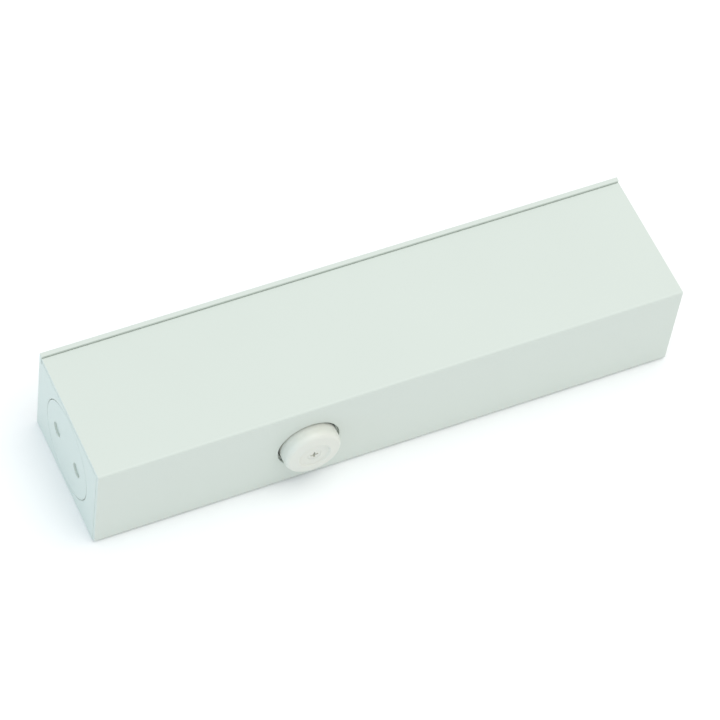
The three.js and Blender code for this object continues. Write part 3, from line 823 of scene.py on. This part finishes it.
black_rubber = rubber_finish("black_nitrile")
bearing_steel = plated_steel("bearing_steel", (0.60, 0.60, 0.60), Y, SPINDLE)
gland_steel = plated_steel("gland_nut_zinc", (0.66, 0.67, 0.66), Y, SPINDLE)
outer = cross_radius - FIT
for name, side in (("upper", 1), ("lower", -1)):
    low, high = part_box(f"{name}_bearing")
    cup_inner, lip = outer - CUP_STEEL, JOURNAL_RADIUS + FIT
    cup = turned(f"{name}_bearing_cup", Y, [
        (lip, low.y), (outer - 0.4 * MM, low.y), (outer, low.y + 0.4 * MM), (outer, high.y - 0.4 * MM),
        (outer - 0.4 * MM, high.y), (lip, high.y), (lip, high.y - 0.5 * MM),
        (cup_inner, high.y - 0.5 * MM), (cup_inner, low.y + 0.5 * MM), (lip, low.y + 0.5 * MM),
    ], SPINDLE)
    fitted(cup, bearing_steel, "housing", "steel", f"{name}_bearing")
    fitted(needles(f"{name}_needles", low, high, bearing_steel), bearing_steel, "housing", "steel")

    low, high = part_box(f"{name}_seal")
    inward = low.y if side > 0 else high.y
    outward = high.y if side > 0 else low.y
    lip_start = inward + side * 1.2 * MM
    seal = turned(f"{name}_lip_seal", Y, [
        (outer, inward), (outer, outward), (JOURNAL_RADIUS + 1.2 * MM, outward),
        (JOURNAL_RADIUS + FIT, outward - side * 0.6 * MM), (JOURNAL_RADIUS + 1.1 * MM, lip_start),
        (outer - 1.4 * MM, lip_start), (outer - 1.4 * MM, inward),
    ], SPINDLE)
    fitted(seal, black_rubber, "housing", "rubber", f"{name}_seal")

    low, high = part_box(f"{name}_gland_nut")
    face = high.y if side > 0 else low.y
    hidden = low.y if side > 0 else high.y
    bore = JOURNAL_RADIUS + 0.4 * MM
    nut = turned(f"{name}_ring_nut", Y, [
        (bore, hidden), (outer, hidden), (outer, face - side * 0.5 * MM), (outer - 0.5 * MM, face),
        (bore + 0.4 * MM, face), (bore, face - side * 0.4 * MM),
    ], SPINDLE, 128)
    pins = []
    for step in (-1, 1):
        spot = SPINDLE + Vector((step * (JOURNAL_RADIUS + outer) / 2, 0.0, 0.0))
        pins.append(drill(Y, NUT_PIN_RADIUS, face - side * NUT_PIN_DEPTH, face, spot, HOLE_EDGE, 32))
    combined(nut, pins)
    fitted(nut, gland_steel, "housing", "steel", f"{name}_gland_nut")

# Spindle cap. A moulded knob over the unused end of the spindle: a short round wall, a sloping
# shoulder and a shallow dish, with one cross-head screw in the middle. Its white is a little warmer
# than the paint's.

CAP_WHITE = (0.715, 0.725, 0.660)
DISH_DEPTH = 0.7 * MM
DISH_RADIUS = 6.7 * MM
SHOULDER = (10.4 * MM, 0.6 * MM)
SHOULDER_CORNER = (11.75 * MM, 1.05 * MM)
WALL_START = 3.2 * MM
CAP_SCREW_RADIUS = 1.8 * MM
CAP_HEAD_RADIUS = 2.8 * MM
CAP_HEAD_HEIGHT = 1.35 * MM


def moulded_plastic(name, colour):
    """Satin moulded nylon with a very fine spark-eroded grain."""
    plastic = Finish(name, {"IOR": 1.53, "Specular IOR Level": 0.5, "Subsurface Weight": 0.05,
                            "Subsurface Radius": (0.0012, 0.0011, 0.0009), "Subsurface Scale": 1.0})
    flow = plastic.noise(scale=70.0, detail=2.0)
    grain = plastic.noise(scale=3200.0, detail=2.0)
    plastic.colour(plastic.between(shade(colour, 0.97), shade(colour, 1.02), flow))
    plastic.roughness(0.34 + 0.08 * flow + 0.08 * grain)
    plastic.relief(grain, 0.005 * MM)
    return plastic.material


def quarter(corner, start, end, steps):
    """A round corner between two points of a profile, bent towards the corner point."""
    points = []
    for i in range(steps + 1):
        t = i / steps
        points.append(tuple(
            (1 - t) ** 2 * a + 2 * t * (1 - t) * c + t ** 2 * b for a, c, b in zip(start, corner, end)))
    return points


white_nylon = moulded_plastic("white_nylon", CAP_WHITE)
cap_radius = (cap_high.x - cap_low.x) / 2
face = cap_low.y
dish = face + DISH_DEPTH
outline = [(0, dish), (DISH_RADIUS - 0.9 * MM, dish)]
outline += quarter((DISH_RADIUS - 0.55 * MM, dish), (DISH_RADIUS - 0.75 * MM, dish),
                   (DISH_RADIUS - 0.4 * MM, dish - 0.2 * MM), 4)
outline += quarter((DISH_RADIUS, face), (DISH_RADIUS - 0.15 * MM, face + 0.15 * MM),
                   (DISH_RADIUS + 0.3 * MM, face), 4)
outline += quarter((SHOULDER_CORNER[0], face + SHOULDER_CORNER[1]), (SHOULDER[0], face + SHOULDER[1]),
                   (cap_radius, face + WALL_START), 10)
outline += [(cap_radius, cap_high.y - 0.2 * MM), (cap_radius - 0.2 * MM, cap_high.y), (0, cap_high.y)]
cap = turned("spindle_knob", Y, outline, SPINDLE, 160)
combined(cap, [
    drill(Y, SQUARE_CORNER_RADIUS + 0.4 * MM, spindle_low.y - 0.4 * MM, cap_high.y, SPINDLE),
    turned("screw_hole", Y, [
        (0, face - MM), (CAP_SCREW_RADIUS + 0.3 * MM, face - MM),
        (CAP_SCREW_RADIUS + 0.3 * MM, cap_high.y), (0, cap_high.y),
    ], SPINDLE, 48),
    drill(Y, CAP_HEAD_RADIUS + 0.04 * MM, dish + CAP_HEAD_HEIGHT + 0.05 * MM, dish, SPINDLE, 0.0),
])
fitted(cap, white_nylon, "spindle", "white_plastic", "spindle_cap")

CROSS_SPAN = 3.4 * MM
CROSS_SLOT = 0.85 * MM
CROSS_DEPTH = 1.2 * MM
screw_low, screw_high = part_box("cap_screw")
head_back = screw_low.y + CAP_HEAD_HEIGHT
cap_screw = turned("cap_cross_screw", Y, [
    (0, screw_low.y + 0.02 * MM),
    (CAP_HEAD_RADIUS - 0.15 * MM, screw_low.y + 0.02 * MM),
    (CAP_HEAD_RADIUS, screw_low.y + 0.12 * MM),
    (CAP_HEAD_RADIUS, head_back),
    (CAP_SCREW_RADIUS, head_back),
    (CAP_SCREW_RADIUS, screw_high.y - 0.6 * MM),
    (CAP_SCREW_RADIUS - 0.6 * MM, screw_high.y),
    (0, screw_high.y),
], SPINDLE, 64)
cross = []
for turn in (0, 1):
    half_u, half_v = (CROSS_SPAN / 2, CROSS_SLOT / 2) if turn else (CROSS_SLOT / 2, CROSS_SPAN / 2)
    blade = [
        (SPINDLE.z - half_u, SPINDLE.x - half_v), (SPINDLE.z + half_u, SPINDLE.x - half_v),
        (SPINDLE.z + half_u, SPINDLE.x + half_v), (SPINDLE.z - half_u, SPINDLE.x + half_v),
    ]
    cross.append(prism("blade", Y, blade, screw_low.y - MM, screw_low.y + CROSS_DEPTH))
combined(cap_screw, cross)
fitted(cap_screw, white_nylon, "spindle", "white_plastic", "cap_screw")

# Adjuster. A steel screw that draws the spring seat along the cylinder. Its head turns in the right
# plug and takes a 4 mm hexagon key, and its collar bears on a brass washer.

SOCKET = 4 * MM
SOCKET_DEPTH = 5 * MM
COLLAR_RADIUS = 9 * MM
ADJUSTER_RADIUS = 5 * MM
ADJUSTER_PITCH = 1.25 * MM
ADJUSTER_NECK_RADIUS = ADJUSTER_HEAD_RADIUS - 0.8 * MM
ADJUSTER_GROOVE_RADIUS = 4 * MM
ADJUSTER_EDGE = 0.4 * MM


def hexagon(first, second, across_flats):
    """The outline of a hexagon socket."""
    return arc((first, second), across_flats / math.sqrt(3), 0, 300, 5)


adjuster_low, adjuster_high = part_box("adjuster_screw")
plug_inner = casting_high.x - plug_length
head_face = adjuster_high.x
collar = (plug_inner - 4 * MM, plug_inner - 1.4 * MM)
groove = (casting_high.x - 6.6 * MM, casting_high.x - 4.6 * MM)
profile = [(0, adjuster_low.x), (ADJUSTER_RADIUS - 0.8 * MM, adjuster_low.x)]
profile += thread(ADJUSTER_RADIUS, 0.6 * MM, ADJUSTER_PITCH,
                  adjuster_low.x + 0.8 * MM, collar[0] - MM)
profile += [
    (ADJUSTER_RADIUS - 0.6 * MM, collar[0]),
    (COLLAR_RADIUS, collar[0]),
    (COLLAR_RADIUS, collar[1]),
    (ADJUSTER_NECK_RADIUS, collar[1]),
    (ADJUSTER_NECK_RADIUS, casting_high.x - 9 * MM),
    (ADJUSTER_HEAD_RADIUS, casting_high.x - 9 * MM),
    (ADJUSTER_HEAD_RADIUS, groove[0]),
    (ADJUSTER_GROOVE_RADIUS, groove[0]),
    (ADJUSTER_GROOVE_RADIUS, groove[1]),
    (ADJUSTER_HEAD_RADIUS, groove[1]),
    (ADJUSTER_HEAD_RADIUS, head_face - ADJUSTER_EDGE),
    (ADJUSTER_HEAD_RADIUS - ADJUSTER_EDGE, head_face),
    (0, head_face),
]
adjuster = turned("adjuster", X, profile, CYLINDER, 64)
combined(adjuster, [
    prism("socket", X, hexagon(CYLINDER.y, CYLINDER.z, SOCKET), head_face - SOCKET_DEPTH, head_face + MM),
    turned("countersink", X, [
        (0, head_face - ADJUSTER_EDGE), (SOCKET / 2, head_face - ADJUSTER_EDGE),
        (SOCKET / 2 + 2 * ADJUSTER_EDGE, head_face + ADJUSTER_EDGE), (0, head_face + ADJUSTER_EDGE),
    ], CYLINDER, 48),
])
adjuster_steel = plated_steel("adjuster_zinc", (0.62, 0.63, 0.63), X, CYLINDER)
fitted(adjuster, adjuster_steel, "adjuster", "steel", "adjuster_screw")

# Valve screws and oil filler. Brass needles with a screwdriver slot throttle the oil for closing,
# latching and backcheck. The filler is a short steel plug. All are sunk just under the cover.

VALVE_SLOT = 1.0 * MM
VALVE_SLOT_DEPTH = 1.5 * MM
VALVE_GROOVE_RADIUS = 2.3 * MM
VALVE_EDGE = 0.35 * MM
FILLER_SOCKET = 3 * MM
FILLER_SOCKET_DEPTH = 2.7 * MM
FILLER_EDGE = 0.4 * MM


def turned_brass(name, centre):
    """Free-cutting brass with tool rings and a light tarnish."""
    brass = Finish(name, {"Metallic": 1.0})
    across, deep, _ = brass.coordinates()
    across, deep = across - centre.x, deep - centre.y
    rings = brass.node("TexNoise", {"noise_dimensions": "1D"},
                       {"W": (across * across + deep * deep) ** 0.5, "Scale": 8000.0, "Detail": 1.0})
    tarnish = brass.noise(scale=260.0, detail=4.0)
    brass.colour(brass.between((0.78, 0.60, 0.30, 1.0), (0.55, 0.40, 0.20, 1.0), tarnish))
    brass.roughness(0.22 + 0.14 * rings + 0.14 * tarnish)
    brass.relief(rings, 0.004 * MM)
    return brass.material


for valve in VALVES:
    low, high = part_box(f"{valve}_valve_screw")
    centre = (low + high) / 2
    radius = (high.x - low.x) / 2
    ring_low, ring_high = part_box(f"{valve}_valve_o_ring")
    groove_low, groove_high = ring_low.z - 0.3 * MM, ring_high.z + 0.3 * MM
    needle = turned(f"{valve}_needle", Z, [
        (0, low.z),
        (0.6 * MM, low.z),
        (1.6 * MM, low.z + 5.6 * MM),
        (radius, low.z + 6.6 * MM),
        (radius, groove_low),
        (VALVE_GROOVE_RADIUS, groove_low),
        (VALVE_GROOVE_RADIUS, groove_high),
        (radius, groove_high),
        (radius, high.z - VALVE_EDGE),
        (radius - VALVE_EDGE, high.z),
        (0, high.z),
    ], centre, 64)
    half = VALVE_SLOT / 2
    slot = [
        (centre.x - half, low.y - MM), (centre.x + half, low.y - MM),
        (centre.x + half, high.y + MM), (centre.x - half, high.y + MM),
    ]
    combined(needle, [prism("slot", Z, slot, high.z - VALVE_SLOT_DEPTH, high.z + MM)])
    brass = turned_brass(f"{valve}_brass", centre)
    fitted(needle, brass, f"{valve}_valve", "brass", f"{valve}_valve_screw")

low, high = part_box("oil_fill_plug")
centre = (low + high) / 2
radius = (high.x - low.x) / 2
filler = turned("oil_filler", Z, [
    (0, low.z), (radius - FILLER_EDGE, low.z), (radius, low.z + FILLER_EDGE),
    (radius, high.z - FILLER_EDGE), (radius - FILLER_EDGE, high.z), (0, high.z),
], centre, 64)
combined(filler, [prism("socket", Z, hexagon(centre.x, centre.y, FILLER_SOCKET),
                        high.z - FILLER_SOCKET_DEPTH, high.z + MM)])
filler_steel = plated_steel("filler_zinc", (0.62, 0.63, 0.62), Z, centre)
fitted(filler, filler_steel, "housing", "steel", "oil_fill_plug")

# Springs. The closing spring and the small spring of the check valve are wound from round wire. The
# piston presses the closing spring from the left, and its seat presses it from the right, so it is
# made in two runs of whole turns.

CLOSING_TURNS = 10
PISTON_SIDE_TURNS = 7
CLOSING_WIRE = 2.2 * MM
CHECK_TURNS = 3
CHECK_WIRE = 0.3 * MM


def coil(name, start, end, radius, wire, turns, material):
    """Round wire wound about the cylinder's axis, between two places of its centre line."""
    pattern = Pattern(name, {
        "Turns": float(turns), "Radius": radius, "Wire": wire, "Length": end - start,
        "Steps per Turn": 28,
    })
    line = pattern.node("GeometryNodeCurveSpiral", None, {
        "Resolution": pattern.size("Steps per Turn"), "Rotations": pattern.size("Turns"),
        "Start Radius": pattern.size("Radius"), "End Radius": pattern.size("Radius"),
        "Height": pattern.size("Length")})
    section = pattern.node("GeometryNodeCurvePrimitiveCircle", None,
                           {"Resolution": 16, "Radius": pattern.size("Wire")})
    wound = pattern.node("GeometryNodeCurveToMesh", None,
                         {"Curve": line, "Profile Curve": section, "Fill Caps": True})
    laid = pattern.node("GeometryNodeTransform", None, {
        "Geometry": wound,
        "Translation": (start, CYLINDER.y, CYLINDER.z),
        "Rotation": (0.0, math.pi / 2, 0.0),
    })
    return pattern.piece(name, laid, material)


def travel(name):
    """How far a sliding joint goes from rest."""
    return next(joint for joint in frame["joints"] if joint["name"] == name)["range_m"][1]


spring_steel = blued_steel("oil_tempered_wire")
coil_radius = (spring_high.y - spring_low.y) / 2 - CLOSING_WIRE
coil_start, coil_end = spring_low.x + CLOSING_WIRE, spring_high.x - CLOSING_WIRE
parting = coil_start + (coil_end - coil_start) * PISTON_SIDE_TURNS / CLOSING_TURNS

piston_coil = coil("closing_coil_piston_side", coil_start, parting, coil_radius, CLOSING_WIRE,
                   PISTON_SIDE_TURNS, spring_steel)
fitted(piston_coil, spring_steel, "housing", "spring_steel", "closing_spring")
1 - travel("piston_slide") / (parting - spring_low.x)
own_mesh(piston_coil)

seat_coil = coil("closing_coil_seat_side", parting, coil_end, coil_radius, CLOSING_WIRE,
                 CLOSING_TURNS - PISTON_SIDE_TURNS, spring_steel)
fitted(seat_coil, spring_steel, "housing", "spring_steel")
1 - travel("spring_seat_slide") / (spring_high.x - parting)
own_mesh(seat_coil)

low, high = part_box("check_valve_spring")
check_spring = coil("check_coil", low.x + CHECK_WIRE, high.x - CHECK_WIRE,
                    (high.y - low.y) / 2 - CHECK_WIRE, CHECK_WIRE, CHECK_TURNS, spring_steel)
fitted(check_spring, spring_steel, "piston", "spring_steel", "check_valve_spring")

# Piston, seat, washer, check valve and rings. These stay as the frame has them, machined all over:
# their edges are broken with a small chamfer, and each gets the finish of its metal or rubber.


def machined_iron(name):
    """Ground grey iron with an oil film: dull streaks across, and dark graphite specks."""
    iron = Finish(name, {"Metallic": 0.9})
    streaks = iron.noise(scale=700.0, stretch=(1.0, 0.1, 0.1))
    graphite = iron.spread(iron.noise(scale=6000.0, detail=0.0), 0.66, 0.78)
    ground = iron.between((0.30, 0.31, 0.32, 1.0), (0.40, 0.41, 0.42, 1.0), streaks)
    iron.colour(iron.between(ground, (0.08, 0.08, 0.09, 1.0), graphite * 0.45))
    iron.roughness(0.32 + 0.18 * streaks)
    iron.relief(streaks, 0.004 * MM)
    return iron.material


def broken_edges(node, material, width):
    """Leaves a CAD node in place, with its finish and its edges broken."""
    piece = frame["nodes"][node]
    piece.data.materials.clear()
    piece.data.materials.append(material)
    weld = piece.modifiers.new("weld", "WELD")
    weld.merge_threshold = 1e-6
    if width:
        chamfer = piece.modifiers.new("chamfer", "BEVEL")
        chamfer.width = width
        chamfer.segments = 2
        chamfer.limit_method = "ANGLE"
        chamfer.angle_limit = math.radians(40)


seat_steel = plated_steel("seat_steel", (0.52, 0.53, 0.54), X, CYLINDER)
ball_steel = plated_steel("ball_steel", (0.66, 0.66, 0.66), X, CYLINDER, 0.0005 * MM)
washer_brass = turned_brass("washer_brass", CYLINDER)
broken_edges("piston", machined_iron("ground_iron"), 0.15 * MM)
broken_edges("spring_seat", seat_steel, 0.2 * MM)
broken_edges("thrust_washer", washer_brass, 0.1 * MM)
broken_edges("check_valve_ball", ball_steel, 0)
broken_edges("check_valve_retainer", washer_brass, 0.1 * MM)
broken_edges("piston_seal", black_rubber, 0.2 * MM)
for ring in ["left_plug", "right_plug", "adjuster"] + [f"{valve}_valve" for valve in VALVES]:
    broken_edges(f"{ring}_o_ring", black_rubber, 0)

# Studio. A white floor that the closer lies on, an even white surround, a broad soft light overhead
# and a cooler one past the left end.

FLOOR_HALF = 3.0
FLOOR_DROP = 0.02 * MM
FLOOR_WHITE = (0.96, 0.96, 0.96)
SURROUND = 0.83

floor_mesh = bpy.data.meshes.new("floor")
floor_mesh.from_pydata(
    [(-FLOOR_HALF, -FLOOR_HALF, -FLOOR_DROP), (FLOOR_HALF, -FLOOR_HALF, -FLOOR_DROP),
     (FLOOR_HALF, FLOOR_HALF, -FLOOR_DROP), (-FLOOR_HALF, FLOOR_HALF, -FLOOR_DROP)],
    [], [(0, 1, 2, 3)])
floor = bpy.data.objects.new("floor", floor_mesh)
bpy.context.scene.collection.objects.link(floor)
paper = Finish("white_paper", {"Roughness": 1.0, "Specular IOR Level": 0.0})
paper.colour(paper.between(shade(FLOOR_WHITE, 0.995), shade(FLOOR_WHITE, 1.005), paper.noise(scale=30.0)))
floor_mesh.materials.append(paper.material)
floor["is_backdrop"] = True

world = bpy.data.worlds.new("surround")
world.use_nodes = True
surround = world.node_tree.nodes["Background"]
surround.inputs["Color"].default_value = (0.97, 1.0, 1.03, 1.0)
surround.inputs["Strength"].default_value = SURROUND
bpy.context.scene.world = world
bpy.context.scene.view_settings.view_transform = "Standard"


def softbox(name, position, size, power, colour):
    """A square area light that faces the closer."""
    light = bpy.data.lights.new(name, "AREA")
    light.size = size
    light.energy = power
    light.color = colour
    lamp = bpy.data.objects.new(name, light)
    lamp.location = position
    lamp.rotation_euler = (-Vector(position)).to_track_quat("-Z", "Y").to_euler()
    bpy.context.scene.collection.objects.link(lamp)


softbox("overhead", (0.35, -0.28, 2.2), 1.8, 20.5, (1.0, 0.99, 0.93))
softbox("left_fill", (-2.0, -0.1, 0.35), 0.9, 7.0, (0.16, 0.64, 1.0))

low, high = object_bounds()
